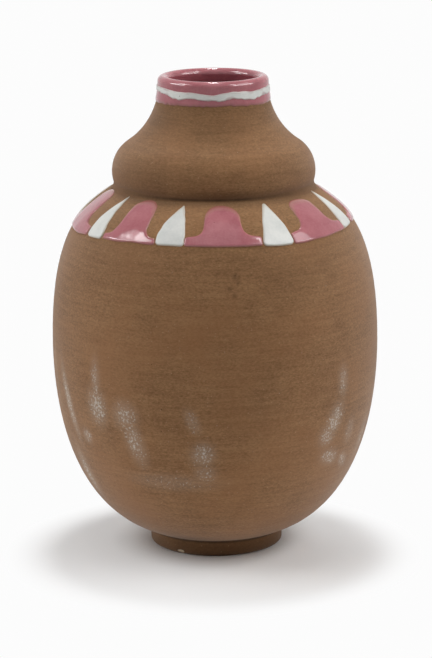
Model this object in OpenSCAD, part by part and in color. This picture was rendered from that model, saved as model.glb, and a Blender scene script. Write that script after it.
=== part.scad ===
// Ovoid vase of unglazed clay: a thrown body, a bulbed collar with a short neck,
// a foot ring, a glazed rim and a glaze band of tongues and teeth on the shoulder.
// Millimetres, +Z up. The origin is the middle of the foot on the table, the front is -Y.

/* [Body] */
// Greatest diameter of the body
belly_d = 179; // [150:1:210]
// Height of the greatest diameter above the table
belly_z = 115; // [95:1:135]
// Height of the crease where the collar stands on the body
crease_z = 201; // [180:0.5:225]
// Slope of the shoulder at the crease, in degrees above level
shoulder_angle = 37; // [20:1:45]
// Fullness of the shoulder at the crease, as a share of its width
shoulder_fullness = 0.38; // [0.1:0.01:0.6]
// Fullness of the body above its greatest diameter
upper_fullness = 0.8; // [0.6:0.01:0.95]
// Fullness of the body below its greatest diameter
lower_fullness = 0.42; // [0.2:0.01:0.7]
// Slope of the underside where it leaves the foot, in degrees above level
under_angle = 16; // [12:1:35]
// Fullness of the underside, as a share of its width
under_fullness = 0.76; // [0.4:0.01:0.92]

/* [Clay] */
// Wall thickness of the body
wall = 6; // [4:0.5:9]
// Thickness of the base above the foot
base_t = 7; // [5:0.5:12]
// Wall thickness at the lip
lip_wall = 4.6; // [3:0.1:5.6]

/* [Foot] */
// Outside diameter of the foot ring
foot_d = 73; // [56:1:90]
// Height of the foot
foot_h = 9; // [6:0.5:14]
// Width of the foot ring
foot_wall = 9; // [6:0.5:14]
// Rounding of the foot's worn outer edge
foot_edge = 2; // [0.5:0.5:3]
// Rounding of the foot's inner edge
foot_inner_edge = 1; // [0.5:0.5:2]

/* [Collar] */
// Height of the collar above the crease, with its glaze
collar_h = 59.8; // [48:0.1:75]
// Greatest diameter of the collar's bulb
collar_d = 110.8; // [100:0.2:126]
// Height of the bulb's greatest diameter above the crease
bulb_rise = 8; // [4:0.5:12]
// Radius of the bulb in section
bulb_r = 18.5; // [15:0.5:22]
// Outside diameter of the clay neck under the lip
neck_d = 58.8; // [48:0.2:72]

/* [Joints] */
// Thickness of the luting slip in a joint
slip_t = 0.6; // [0.4:0.1:1]
// Height of the step that locates each joint
seat_step = 2; // [1:0.5:3]
// How far the slip stays back from the outside
slip_inset = 0.4; // [0.2:0.1:1]

/* [Rim glaze] */
// Thickness of the glaze on the rim
rim_glaze_t = 0.8; // [0.5:0.1:1.2]
// Depth of the rim glaze down the outside of the neck
rim_h = 14; // [8:0.5:16]
// Depth of the rim glaze down the inside of the neck
rim_in_h = 8; // [5:0.5:12]
// Thickness of the glaze that lines the inside
lining_t = 0.6; // [0.4:0.1:1]
// Gap between two glazes that meet
glaze_gap = 0.2; // [0.1:0.1:0.5]

/* [Rim line] */
// Depth of the white line's middle below the lip
line_drop = 7.4; // [5:0.1:8]
// Width of the white line
line_w = 3; // [1.5:0.1:3.6]
// Thickness of the white line
line_t = 0.5; // [0.3:0.1:0.8]
// Height of the line's waves to either side of its middle
line_wave = 0.8; // [0:0.1:1.2]
// Gap between the line and the glaze under it
line_gap = 0.05; // [0.04:0.01:0.2]

/* [Shoulder band] */
// Number of teeth, and of tongues between them
repeats = 8; // [6:1:11]
// Turn of the first tooth from the front, in degrees to the right
first_turn = -16; // [-30:1:30]
// Height of the band's lower edge below the crease
band_drop = 20; // [15:0.5:26]
// Thickness of the glaze in the band
band_t = 0.9; // [0.5:0.1:1.4]
// Space between the band's glaze and the crease
crease_gap = 0.8; // [0.4:0.1:2]
// Width of a white tooth
tooth_w = 16; // [10:0.5:19]
// Length of a white tooth up the slope
tooth_h = 27.5; // [18:0.5:30]
// Rounding of a tooth's lower corners
tooth_corner = 2.5; // [1:0.5:4]
// Width of a pink tongue
tongue_w = 19; // [12:0.5:22]
// Length of a pink tongue up the slope
tongue_h = 27; // [20:0.5:30]
// Height of the tongue's spread foot
spread_h = 5.5; // [3:0.5:9]
// Radius of the hollow between a tongue and its spread foot
spread_r = 5; // [2:0.5:8]
// Clay left showing between a tongue's foot and a tooth
band_gap = 0.8; // [0.4:0.1:3]

/* [Hidden] */
$fn = 96;
clay_colour = "#7d5f44";
slip_colour = "#4b3220";
pink_colour = "#b27076";
white_colour = "#d7d7d0";
lining_colour = "#8a4a50";

// Steps along each curve, and small amounts for cutters and for joining points
curve_steps = 22;
arc_steps = 14;
line_steps = 96;
line_corners = 4;
tiny = 0.01;

// Hand-drawn wander of each tooth round the shoulder and its lean, in degrees
tooth_wander = [-2, -3, -2, -1, 1, 2, 4, 4];
tooth_lean = [4, 2, -4, 3, -2, 2, -3, 5];

belly_r = belly_d / 2;
foot_r = foot_d / 2;
foot_in_r = foot_r - foot_wall;
boss_r = foot_in_r - slip_t;
floor_z = foot_h + base_t;

// Bulb and neck arcs of the collar touch where the curve changes its sense
collar_r = collar_d / 2;
neck_r = neck_d / 2;
bulb_z = crease_z + bulb_rise;
top_z = crease_z + collar_h;
lip_z = top_z - rim_glaze_t - lip_wall / 2;
arc_sum = (pow(collar_r - neck_r, 2) + pow(lip_z - bulb_z, 2)) / (2 * (collar_r - neck_r));
flare_r = arc_sum - bulb_r;
turn_angle = acos((neck_r + flare_r - collar_r + bulb_r) / arc_sum);
bulb_start = -asin((bulb_rise - slip_t) / bulb_r);

// Seat between body and collar
crease_r = collar_r - bulb_r + sqrt(pow(bulb_r, 2) - pow(bulb_rise, 2));
throat_r = crease_r - wall;
seat_r = crease_r - wall / 2;
seat_z = crease_z + slip_t;
step_z = crease_z + seat_step;
step_top_z = step_z + slip_t;

// Heights of the glaze edges
rim_z = top_z - rim_h;
rim_in_z = top_z - rim_in_h;
line_z = top_z - line_drop;
band_z = crease_z - band_drop;

// Points on a circle, on a cubic curve between two ends, and a list turned round
function arc(centre, r, a0, a1, n = arc_steps) =
    [for (i = [0:n]) centre + r * [cos(a0 + (a1 - a0) * i / n), sin(a0 + (a1 - a0) * i / n)]];
function cubic(a, b, c, d, n = curve_steps) =
    [for (i = [0:n]) let (t = i / n, u = 1 - t) u*u*u*a + 3*u*u*t*b + 3*u*t*t*c + t*t*t*d];
function reversed(path) = [for (i = [len(path) - 1:-1:0]) path[i]];

// Unit normal at a point of a path, on its outer side when the path climbs
function normal(path, i) =
    let (d = path[min(i + 1, len(path) - 1)] - path[max(i - 1, 0)]) [d[1], -d[0]] / norm(d);
function outset(path, t) = [for (i = [0:len(path) - 1]) path[i] + t * normal(path, i)];

// Radius of a climbing path at a height, and the stretch of it between two heights
function radius_at(path, z) = lookup(z, [for (p = path) [p[1], p[0]]]);
function stretch(path, z0, z1) = concat(
    [[radius_at(path, z0), z0]],
    [for (p = path) if (p[1] > z0 + tiny && p[1] < z1 - tiny) p],
    [[radius_at(path, z1), z1]]);

// Outside of the body from the foot to the belly and on to the crease
under_out = under_fullness * (belly_r - foot_r);
shoulder_out = shoulder_fullness * (belly_r - crease_r);
lower_curve = cubic(
    [foot_r, foot_h],
    [foot_r + under_out, foot_h + under_out * tan(under_angle)],
    [belly_r, belly_z - lower_fullness * (belly_z - foot_h)],
    [belly_r, belly_z]);
upper_curve = cubic(
    [belly_r, belly_z],
    [belly_r, belly_z + upper_fullness * (crease_z - belly_z)],
    [crease_r + shoulder_out, crease_z - shoulder_out * tan(shoulder_angle)],
    [crease_r, crease_z]);
body_outer = concat(lower_curve, [for (i = [1:curve_steps]) upper_curve[i]]);

// Inside of the body from the floor to the throat
body_inset = outset(body_outer, -wall);
body_inner = concat(
    [[0, floor_z], [radius_at(body_inset, floor_z), floor_z]],
    [for (p = body_inset) if (p[1] > floor_z + tiny) p],
    [[throat_r, step_z]]);

// Outside of the collar from its seat to the lip, and its inside from throat to lip
bulb_centre = [collar_r - bulb_r, bulb_z];
flare_centre = [neck_r + flare_r, lip_z];
bulb_arc = arc(bulb_centre, bulb_r, bulb_start, turn_angle);
flare_arc = arc(flare_centre, flare_r, 180 + turn_angle, 180);
collar_outer = concat(bulb_arc, [for (i = [1:arc_steps]) flare_arc[i]]);
collar_last = len(collar_outer) - 1;
collar_inset = [for (i = [0:collar_last])
    collar_outer[i] - (wall + (lip_wall - wall) * i / collar_last) * normal(collar_outer, i)];
collar_inner = concat(
    [[throat_r, step_top_z]],
    [for (p = collar_inset) if (p[1] > step_top_z + tiny) p]);
lip_arc = arc([neck_r - lip_wall / 2, lip_z], lip_wall / 2, 0, 180);
lip_top = [for (i = [1:len(lip_arc) - 2]) lip_arc[i]];

// Clay surface under the rim glaze, from the outside over the lip to the inside
rim_path = concat(
    stretch(collar_outer, rim_z, lip_z),
    lip_top,
    reversed(stretch(collar_inner, rim_in_z, lip_z)));

// Clay surface under the lining, from the middle of the floor up to the rim glaze
lining_path = concat(body_inner, stretch(collar_inner, step_top_z, rim_in_z - glaze_gap));

// Clay surface under the shoulder band, and the slope that its outlines are drawn on
band_path = stretch(upper_curve, band_z, crease_z - crease_gap);
band_r = band_path[0][0];
band_slope = atan2(band_drop, band_r - crease_r);
band_depth = 2 * band_drop;

// Turn of each tooth from the front, and half the turn between a tooth and the next
function wander(i) = tooth_wander[i % len(tooth_wander)];
function tooth_turn(i) = first_turn + 360 * i / repeats + wander(i % repeats);
function half_turn(i) = (360 / repeats + wander((i + 1) % repeats) - wander(i)) / 2;

// A solid turned from a half section, and a skin of even thickness on a path
module turned(section) {
    rotate_extrude() polygon(section);
}
module skin(path, t) {
    turned(concat(path, reversed(outset(path, t))));
}

// Ring that the vase stands on, worn round at its lower edges
module foot_ring() {
    color(clay_colour)
        turned(concat(
            arc([foot_in_r + foot_inner_edge, foot_inner_edge], foot_inner_edge, 180, 270),
            arc([foot_r - foot_edge, foot_edge], foot_edge, 270, 360),
            [[foot_r, foot_h - slip_t], [foot_in_r, foot_h - slip_t]]));
}

// Slip that lutes the foot ring to the base and round its locating boss
module foot_slip() {
    color(slip_colour)
        turned([
            [boss_r, foot_h - seat_step],
            [foot_in_r, foot_h - seat_step],
            [foot_in_r, foot_h - slip_t],
            [foot_r - slip_inset, foot_h - slip_t],
            [foot_r - slip_inset, foot_h],
            [boss_r, foot_h]]);
}

// Thrown body with its base, a boss inside the foot ring and a stepped seat for the collar
module body() {
    color(clay_colour)
        turned(concat(
            [[0, foot_h - seat_step], [boss_r, foot_h - seat_step], [boss_r, foot_h]],
            body_outer,
            [[seat_r, crease_z], [seat_r, step_z]],
            reversed(body_inner)));
}

// Slip that lutes the collar to the stepped seat of the body
module collar_slip() {
    color(slip_colour)
        turned([
            [seat_r, crease_z],
            [crease_r - slip_inset, crease_z],
            [crease_r - slip_inset, seat_z],
            [seat_r + slip_t, seat_z],
            [seat_r + slip_t, step_top_z],
            [throat_r, step_top_z],
            [throat_r, step_z],
            [seat_r, step_z]]);
}

// Thrown collar: bulb, flared neck and rounded lip
module collar() {
    color(clay_colour)
        turned(concat(
            collar_outer,
            lip_top,
            reversed(collar_inner),
            [[seat_r + slip_t, step_top_z], [seat_r + slip_t, seat_z]]));
}

// Glaze that lines the inside from the floor to the neck
module lining() {
    color(lining_colour) skin(lining_path, -lining_t);
}

// Pink glaze over the lip
module rim_glaze() {
    color(pink_colour) skin(rim_path, rim_glaze_t);
}

// White line round the rim, painted by hand in uneven waves
function line_middle(a) = line_z - line_wave * (0.6 * cos(8 * a) + 0.4 * sin(3 * a + 20));
function line_half(a) = line_w / 2 + 0.15 * line_wave * sin(5 * a);
function line_r(z) = radius_at(collar_outer, z) + rim_glaze_t + line_gap;
function line_ring(a) =
    let (low = line_middle(a) - line_half(a), high = line_middle(a) + line_half(a))
    [[line_r(low), low], [line_r(low) + line_t, low], [line_r(high) + line_t, high], [line_r(high), high]];
module rim_line() {
    points = [for (i = [0:line_steps - 1]) let (a = 360 * i / line_steps)
        for (p = line_ring(a)) [p[0] * sin(a), -p[0] * cos(a), p[1]]];
    faces = [for (i = [0:line_steps - 1], j = [0:line_corners - 1])
        let (a = i * line_corners, b = (i + 1) % line_steps * line_corners, k = (j + 1) % line_corners)
        [a + j, a + k, b + k, b + j]];
    color(white_colour) polyhedron(points, faces);
}

// Glaze on the shoulder inside an outline drawn on its slope, at a turn from the front
module shoulder_glaze(turn) {
    intersection() {
        skin(band_path, band_t);
        rotate([0, 0, turn])
            translate([0, -band_r, band_z])
                rotate([band_slope, 0, 0])
                    linear_extrude(band_depth, center = true) children();
    }
}

// Tooth outline: a pointed arch on a straight foot with rounded corners
module tooth_outline() {
    half = tooth_w / 2;
    arch_r = (pow(half, 2) + pow(tooth_h, 2)) / (2 * half);
    intersection() {
        translate([half - arch_r, 0]) circle(arch_r);
        translate([arch_r - half, 0]) circle(arch_r);
        union() {
            translate([tooth_corner - half, 0]) square([tooth_w - 2 * tooth_corner, tooth_h]);
            translate([-half, tooth_corner]) square([tooth_w, tooth_h]);
            for (side = [-1, 1])
                translate([side * (half - tooth_corner), tooth_corner]) circle(tooth_corner);
        }
    }
}

// Tongue outline: a round-ended tongue that spreads at its foot towards both teeth
module tongue_outline(half_foot) {
    half = tongue_w / 2;
    below = band_drop / 2;
    translate([-half, -below]) square([tongue_w, tongue_h - half + below]);
    translate([0, tongue_h - half]) circle(half);
    translate([-half_foot, -below]) square([2 * half_foot, spread_h + below]);
    for (side = [0, 1])
        mirror([side, 0])
            translate([half, spread_h])
                difference() {
                    square(spread_r);
                    translate([spread_r, spread_r]) circle(spread_r);
                }
}

module white_tooth(i) {
    color(white_colour)
        shoulder_glaze(tooth_turn(i)) rotate(-tooth_lean[i % len(tooth_lean)]) tooth_outline();
}

module pink_tongue(i) {
    turn = half_turn(i);
    half_foot = band_r * sin(turn) - tooth_w / 2 * cos(turn) - band_gap;
    color(pink_colour) shoulder_glaze(tooth_turn(i) + turn) tongue_outline(half_foot);
}

foot_ring();
foot_slip();
body();
collar_slip();
collar();
lining();
rim_glaze();
rim_line();
for (i = [0:repeats - 1]) {
    pink_tongue(i);
    white_tooth(i);
}
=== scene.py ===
"""Looks of an ovoid vase: thrown clay, luting slip and raised glaze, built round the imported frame.

Metres, +Z up, the front is -Y. Angles round the vase are in degrees from the front, + to the right.
"""

import math
from collections import namedtuple

import bpy
import numpy as np
from mathutils import Matrix, Vector


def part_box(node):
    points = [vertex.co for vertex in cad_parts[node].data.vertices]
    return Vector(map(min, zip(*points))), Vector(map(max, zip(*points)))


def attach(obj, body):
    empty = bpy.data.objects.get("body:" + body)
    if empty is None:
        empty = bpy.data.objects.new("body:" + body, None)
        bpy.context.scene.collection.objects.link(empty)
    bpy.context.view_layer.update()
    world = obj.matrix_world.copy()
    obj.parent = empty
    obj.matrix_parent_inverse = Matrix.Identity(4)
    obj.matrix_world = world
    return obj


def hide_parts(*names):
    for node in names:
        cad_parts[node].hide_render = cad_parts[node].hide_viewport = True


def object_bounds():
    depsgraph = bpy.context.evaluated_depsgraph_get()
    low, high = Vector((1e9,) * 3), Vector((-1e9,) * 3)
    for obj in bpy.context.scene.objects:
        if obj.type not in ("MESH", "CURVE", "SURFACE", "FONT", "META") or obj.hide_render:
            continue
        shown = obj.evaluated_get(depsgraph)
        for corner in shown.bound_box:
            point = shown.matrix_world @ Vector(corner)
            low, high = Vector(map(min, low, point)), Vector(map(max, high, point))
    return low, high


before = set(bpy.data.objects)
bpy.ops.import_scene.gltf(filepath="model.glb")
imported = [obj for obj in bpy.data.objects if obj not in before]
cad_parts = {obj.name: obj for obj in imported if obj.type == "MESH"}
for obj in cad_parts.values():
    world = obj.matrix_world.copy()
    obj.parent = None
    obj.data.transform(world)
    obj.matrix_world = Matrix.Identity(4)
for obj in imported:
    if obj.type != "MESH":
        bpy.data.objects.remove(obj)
cad_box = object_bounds()

MM = 0.001
RIDES_ON = "root"

# Fineness of the meshes: points round the vase, steps along profiles, rows and columns, and sharp edges
SEGMENTS = 432
PROFILE_STEP = 1.35 * MM
FOOT_STEP = 0.35 * MM
RIM_STEP = 0.5 * MM
INNER_STEP = 3 * MM
HIDDEN_STEP = 5 * MM
BASE_RINGS = 16
FLOOR_RINGS = 11
SMEAR_ROWS = 13
FIELD_ROWS = 72
FIELD_COLUMNS = 44
RIM_ROWS = 72
LINE_ROWS = 16
SHARP_ANGLE = math.radians(40)
TURN = np.linspace(0, 2 * math.pi, SEGMENTS, endpoint=False)

# Reading a node: how far a face must look outward or inward, the grain of heights, the radius that counts
# as on the axis, and how high the foot of a shoulder field is taken to be
LEAST_FACING = 0.02
HEIGHT_GRAIN = 0.01 * MM
AXIS_RADIUS = 0.001 * MM
FOOT_SLICE = 1 * MM

# Thrown walls: slow unevenness, fine ridges with their drift, the calm stretch next to joints and glaze,
# seeds, and the usual peak of an uneven wave
UNEVEN = 0.2 * MM
UNEVEN_WAVE = dict(turns=3, pitch=160 * MM)
RIDGE = 0.04 * MM
RIDGE_PITCH = 5.2 * MM
RIDGE_DRIFT = 2
CALM = 14 * MM
CALM_UNDER_BAND = 3 * MM
CALM_UNDER_RIM = 2 * MM
BODY_SEED = 3
COLLAR_SEED = 11
WAVE_PEAK = 1.5

# The wiped swirl under the base: depth, pitch, and where it begins and ends from the middle and the edge
SWIRL = 0.12 * MM
SWIRL_PITCH = 3 * MM
SWIRL_FROM = 4 * MM
SWIRL_EDGE = 3 * MM

# The trimmed foot: depth, and the heights between which it is uneven
TRIM = 0.12 * MM
TRIM_WAVE = dict(seed=29, turns=9, pitch=9 * MM)
TRIM_FROM = 2 * MM
TRIM_TO = 7 * MM

# Chips out of the foot's lower edge: angle, height, half width and half height in millimetres, and then
# how deep, steep and ragged they are
CHIPS = [(-33, 1.5, 2.5, 0.9)]
CHIP_DEPTH = 0.6 * MM
CHIP_SLOPE = 2.5
CHIP_RAGGED = 0.25
CHIP_REPEATS = 24
CHIP_WAVE = dict(seed=31, pitch=4 * MM)

# Joints: how far the slip is smeared up and down from a joint, and how deep its thin ends lie
SMEAR_REACH = 3.4 * MM
FRONT_SMEAR_REACH = 1.2 * MM
FOOT_SMEAR_REACH = 1.4 * MM
SMEAR_SINK = 0.05 * MM

# Glaze: how far its underside lies in what carries it
SINK = 0.15 * MM

# Glaze fields on the shoulder: thickness and width of the rounded edge at the top and at the foot, and the
# heights in millimetres between which they change
TOP_THICKNESS = 0.5 * MM
FOOT_THICKNESS = 0.85 * MM
TOP_BEAD = 2.4 * MM
FOOT_BEAD = 1.2 * MM
THICK_BELOW = 2
THIN_ABOVE = 16

# Unevenness of the fields: wander of the outline, sag of the foot up to a height, and share of the coat's
# thickness, with the widths in millimetres that a radian of their waves takes, and seeds
FIELD_WOBBLE = 0.24 * MM
WOBBLE_WAVE = dict(turns=4, pitch=9 * MM)
FOOT_SAG = 0.25 * MM
SAG_WAVE = dict(turns=4)
SAG_REACH = 8
SAG_SPAN = 10
COAT_UNEVEN = 0.1
COAT_WAVE = dict(turns=3, pitch=16 * MM)
COAT_SPAN = 7
TOOTH_SEED = 100
TONGUE_SEED = 300
SEED_STEP = 10

# Rim glaze: thickness and its unevenness, width of the rounded edge, waves of its edges, how far it laps
# over the lining, and how far its lower edge rises and its top dips in front, with the angles from the
# front and the height over which they do
RIM_THICKNESS = 0.8 * MM
RIM_UNEVEN = 0.06
RIM_UNEVEN_WAVE = dict(seed=47, turns=6, pitch=14 * MM)
RIM_BEAD = 3 * MM
RIM_EDGE = 0.35 * MM
RIM_EDGE_WAVE = dict(seed=41, turns=7, terms=9)
RIM_RAGGED = 0.32 * MM
RIM_RAGGED_WAVE = dict(seed=42, turns=60, terms=14)
RIM_INSIDE_EDGE = 2 * RIM_EDGE
RIM_INSIDE_WAVE = dict(seed=43, turns=6)
RIM_LAP = 1 * MM
RIM_RISE = 0.8 * MM
RISE_FROM = 60
RISE_BY = 15
RIM_DIP = 0.45 * MM
DIP_FROM = 75
DIP_REACH = 4 * MM

# White rim line: thickness, width of the rounded edge, waves of its edges, and how worn it is
LINE_THICKNESS = 0.32 * MM
LINE_BEAD = 0.7 * MM
LINE_EDGE = 0.15 * MM
LINE_EDGE_WAVE = dict(seed=53, turns=40, terms=12)
LINE_RAGGED = 0.22 * MM
LINE_RAGGED_WAVE = dict(seed=51, turns=70, terms=20)
LINE_WORN = 0.85
LINE_WORN_WAVE = dict(seed=57, turns=24, pitch=6 * MM, terms=12)

# Lining: thickness, and the heights above the floor between which it pools in the corner
LINING_THICKNESS = 0.6 * MM
POOL_TOP = 30 * MM
POOL_FULL = 12 * MM
POOL_PASSES = 40

# Widths over which glaze looks thin at its outline, and the shares of a field's height between which its
# width grows
THIN_REACH = 0.9 * MM
TOOTH_THIN_REACH = 2.5 * MM
TONGUE_THIN_REACH = 6 * MM
RIM_THIN_REACH = 1.8 * MM
THIN_FROM = 0.5
THIN_BY = 0.95

# White teeth, drawn by hand, in millimetres: foot to the left and right of the tooth's turn, place, half
# width and height of the tip, and how far the left and right edges swell
Tooth = namedtuple("Tooth", "left right tip tip_half height swell_left swell_right")
TEETH = [
    Tooth(-8.5, 7.6, 2.2, 0.2, 26.5, 3.2, 1.4),
    Tooth(-8.7, 9.4, 1.4, 1.0, 26.6, 1.2, 1.4),
    Tooth(-6.8, 6.8, -0.8, 0.3, 28.5, 1.4, 2.6),
    Tooth(-8.1, 8.0, 1.0, 0.5, 27.4, 2.4, 1.6),
    Tooth(-7.6, 8.4, -0.8, 0.3, 26.8, 2.6, 1.5),
    Tooth(-8.4, 7.7, 1.4, 0.7, 27.8, 1.8, 2.2),
    Tooth(-7.9, 8.1, -1.2, 0.3, 27.0, 2.2, 2.4),
    Tooth(-6.6, 7.4, 2.9, 0.2, 28.6, 2.5, -0.5),
]

# Pink tongues, drawn by hand, in millimetres: foot to the left and right of the tongue's turn and its
# height, stem to the left and right and how much it tapers, place and height of the top, and how far
# down the rounding of the top begins
Tongue = namedtuple("Tongue", "foot_left foot_right foot_height stem_left stem_right taper top height cap")
TONGUES = [
    Tongue(-21.2, 20.6, 5.4, -11.5, 11.2, 0.05, -1.0, 26.8, 8.0),
    Tongue(-20.8, 23.2, 6.2, -11.0, 12.8, 0.06, -1.0, 26.3, 5.0),
    Tongue(-21.0, 20.6, 5.0, -10.8, 11.2, 0.08, 0.6, 27.2, 8.0),
    Tongue(-22.0, 21.8, 5.6, -11.2, 10.4, 0.05, -1.0, 27.4, 7.5),
    Tongue(-21.2, 21.0, 4.6, -10.6, 11.4, 0.10, 0.8, 26.5, 8.5),
    Tongue(-22.2, 21.6, 5.2, -11.0, 10.8, 0.06, -0.4, 27.2, 7.0),
    Tongue(-23.0, 22.6, 5.2, -10.0, 13.4, 0.05, 2.0, 28.5, 6.0),
    Tongue(-17.6, 17.4, 3.6, -10.6, 10.6, 0.10, 1.2, 28.5, 7.0),
]

# Corners of the teeth and of the tongues' feet, how far up a tongue's foot flares, the least half width of
# a tip, and the least square of an outline's side, in millimetres
TOOTH_CORNER = 2.4
FOOT_CORNER = 1.3
SPREAD_REACH = 7.0
TIP_HALF = 0.15
LEAST_SQUARE = 1e-12

# The wavy line that the fields stand on: how far it hangs below the level of the band, in millimetres, at
# angles round the vase, how high up the fields follow it, and the room that is left below the band for it
HANG_KNOTS = [
    (-160, 0.4), (-120, 0.9), (-75, 2.2), (-55, 1.1),
    (-42, 0.5), (-25, 0.0), (0, 0.3), (18, 0.6),
    (32, 1.6), (42, 1.1), (55, 0.2), (64, -0.2),
    (75, -1.0), (90, -0.4), (110, 0.8), (150, 0.2),
]
HANG_REACH = 12
HANG_ROOM = 4 * MM

# White rim line: heights of its upper and lower edge above the rim glaze's lower edge, in millimetres, at
# angles round the rim
LINE_KNOTS = [
    (-170, 8.6, 5.2), (-140, 9.0, 6.0), (-115, 8.2, 4.8), (-90, 9.0, 6.2),
    (-70, 9.0, 6.0), (-55, 8.8, 5.4), (-42, 8.1, 3.9), (-33, 7.9, 3.8),
    (-24, 8.0, 4.6), (-10, 7.2, 3.8), (0, 6.7, 3.6), (10, 7.6, 3.4),
    (20, 8.3, 4.6), (26, 8.2, 4.2), (32, 8.1, 3.8), (43, 7.6, 3.2),
    (52, 8.0, 3.9), (62, 8.4, 4.6), (75, 8.8, 4.8), (95, 8.4, 5.2),
    (120, 9.2, 6.0), (150, 8.0, 4.6),
]

# Chalky scuffs on the clay: angle, height, half width and half height in millimetres, lean of the long
# side to the right in degrees, and strength
SCUFFS = [
    (-45.5, 107, 3.4, 12, 0, 0.75),
    (-45.5, 92, 7.0, 10, -6, 1.00),
    (-64.0, 89, 3.6, 21, -17, 1.00),
    (-33.0, 90, 7.6, 8, -20, 0.85),
    (-30.0, 76, 5.4, 14, -14, 0.85),
    (-53.8, 73, 4.2, 4.2, 0, 0.85),
    (-8.0, 90, 3.4, 7, -25, 0.60),
    (-4.6, 71, 6.2, 7, 15, 0.90),
    (-4.0, 60, 6.0, 6, 0, 0.60),
    (-17.0, 54, 24, 5, 0, 0.45),
    (50.0, 104, 4.0, 9, -4, 0.75),
    (47.0, 83, 5.6, 10, 22, 0.95),
    (44.0, 75, 6.0, 6.5, 10, 0.85),
    (57.5, 74, 4.4, 7, 0, 0.60),
    (47.5, 62, 7.6, 4.6, 20, 0.90),
    (57.5, 57, 6.0, 3.4, 40, 0.80),
    (-76.0, 101, 2.0, 22, -4, 0.45),
    (-64.0, 48, 6.0, 14, -6, 0.85),
    (72.0, 66, 5.0, 11, 8, 0.60),
    (79.0, 92, 3.0, 13, 6, 0.40),
    (76.0, 46, 3.0, 13, 18, 0.45),
]
SCUFF_FALLOFF = 1.4

# More scuffs round the back: their number and seed, and the range that each value of a scuff is drawn from
BACK_SCUFFS = 12
SCUFF_SEED = 7
SCUFF_RANGES = [(95, 265), (52, 112), (2, 5), (4, 14), (-20, 20), (0.45, 0.9)]

# Burnt-out pits in the clay, with the same values as a scuff
PITS = [
    (7.4, 166.5, 0.9, 0.9, 0, 1.0),
    (8.4, 163.5, 0.8, 0.8, 0, 0.9),
    (5.3, 160, 1.2, 0.7, 0, 0.8),
    (7.0, 157, 0.8, 0.9, 0, 1.0),
    (112.0, 160, 0.8, 0.8, 0, 0.9),
    (-140.0, 146, 0.8, 0.7, 0, 0.9),
    (172.0, 134, 0.9, 0.7, 0, 0.8),
]

# Darker patches in the clay's colour, with the same values as a scuff. Those on the bulb's sides, on the
# left of the neck and along the crease are painted shade; the rest only make the clay darker in places
SHADE_AND_TONE_PATCHES = [
    (-52, 209, 26, 17, 0, 0.29),
    (-58, 238, 12, 9, 0, 0.26),
    (52, 207, 22, 14, 0, 0.17),
    (-56, 191, 18, 5, 0, 0.28),
    (56, 191, 15, 5, 0, 0.18),
    (0, 203, 24, 3.5, 0, 0.20),
    (-18, 226, 12, 6, 0, 0.10),
    (0, 231, 16, 8, 0, 0.13),
    (14, 95, 15, 24, 0, 0.09),
    (-38, 170, 32, 9, 0, 0.12),
    (38, 166, 32, 13, 0, 0.15),
    (125, 150, 32, 20, 10, 0.12),
    (172, 108, 42, 26, -8, 0.10),
    (-130, 128, 34, 24, 12, 0.12),
    (150, 213, 22, 9, 0, 0.13),
    (-150, 225, 16, 9, 0, 0.12),
]
SOFT_FALLOFF = 1

# Tones of the clay: tanned round the shoulder's glaze, and darker under it, on the collar and on the neck
# under the rim. Painted shade: a darker foot, darkest at its bottom, and darker clay near the crease, under
# the bulb and on the shoulder. Last, how dark slip is where it is smeared over a joint
TAN = 0.12
TAN_REACH = 4 * MM
BAND_FLASH = 0.1
COLLAR_FLASH = 0.08
NECK_FLASH = 0.24
FLASH_REACH = 22 * MM
NECK_REACH = FLASH_REACH / 3
FOOT_SHADE = 0.45
FOOT_LOW_SHADE = 0.75
CREASE_SHADE = 0.42
UNDER_BULB = 6 * MM
ON_SHOULDER = 4 * MM
JOINT_DARK = 0.95

# Colours of the record's slots, as linear values
CLAY_DARK = (0.174, 0.085, 0.035, 1)
CLAY_LIGHT = (0.380, 0.203, 0.095, 1)
CLAY_RED = (0.305, 0.145, 0.062, 1)
CLAY_TAN = (0.300, 0.180, 0.076, 1)
# Darker clay, which is also the colour of the painted shade
CLAY_FLASH_AND_SHADE = (0.105, 0.056, 0.026, 1)
PIT = (0.070, 0.035, 0.015, 1)
CHALK = (0.58, 0.52, 0.45, 1)
SAND = (0.60, 0.42, 0.27, 1)
CHIP_CLAY = (0.72, 0.60, 0.44, 1)
SLIP_DARK = (0.050, 0.026, 0.012, 1)
SLIP_LIGHT = (0.110, 0.058, 0.028, 1)
PINK = (0.430, 0.125, 0.145, 1)
PINK_DEEP = (0.345, 0.080, 0.100, 1)
PINK_THIN = (0.380, 0.165, 0.125, 1)
RIM_THIN = (0.270, 0.105, 0.080, 1)
PINK_SPECK = (0.200, 0.045, 0.060, 1)
WHITE = (0.705, 0.705, 0.670, 1)
WHITE_DEEP = (0.590, 0.600, 0.575, 1)
WHITE_THIN = (0.520, 0.450, 0.360, 1)
WHITE_SPECK = (0.250, 0.180, 0.110, 1)
LINE_THIN = (0.420, 0.300, 0.290, 1)
LINE_SPECK = (0.110, 0.060, 0.055, 1)
LINING = (0.220, 0.078, 0.092, 1)
LINING_DEEP = (0.140, 0.048, 0.056, 1)
LINING_SPECK = (0.070, 0.022, 0.026, 1)

# Noises in the materials, with their scale or stretch per metre
CLAY_BROAD = dict(scale=14, detail=3)
CLAY_MOTTLE = dict(scale=80, detail=4, roughness=0.6)
CLAY_LINES = dict(stretch=(40, 40, 520), detail=3, roughness=0.6)
CLAY_GRAIN = dict(stretch=(650, 650, 1300), detail=3, roughness=0.7)
CLAY_WARMTH = dict(scale=30, detail=3)
CHALK_GRAIN = dict(scale=850, roughness=0.6)
SLIP_MOTTLE = dict(scale=220, detail=4, roughness=0.6)
GLAZE_CLOUD = dict(scale=95, detail=3, roughness=0.6)
GLAZE_GRAIN = dict(scale=900)
GLAZE_RIPPLE = dict(scale=170, detail=1)

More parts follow.
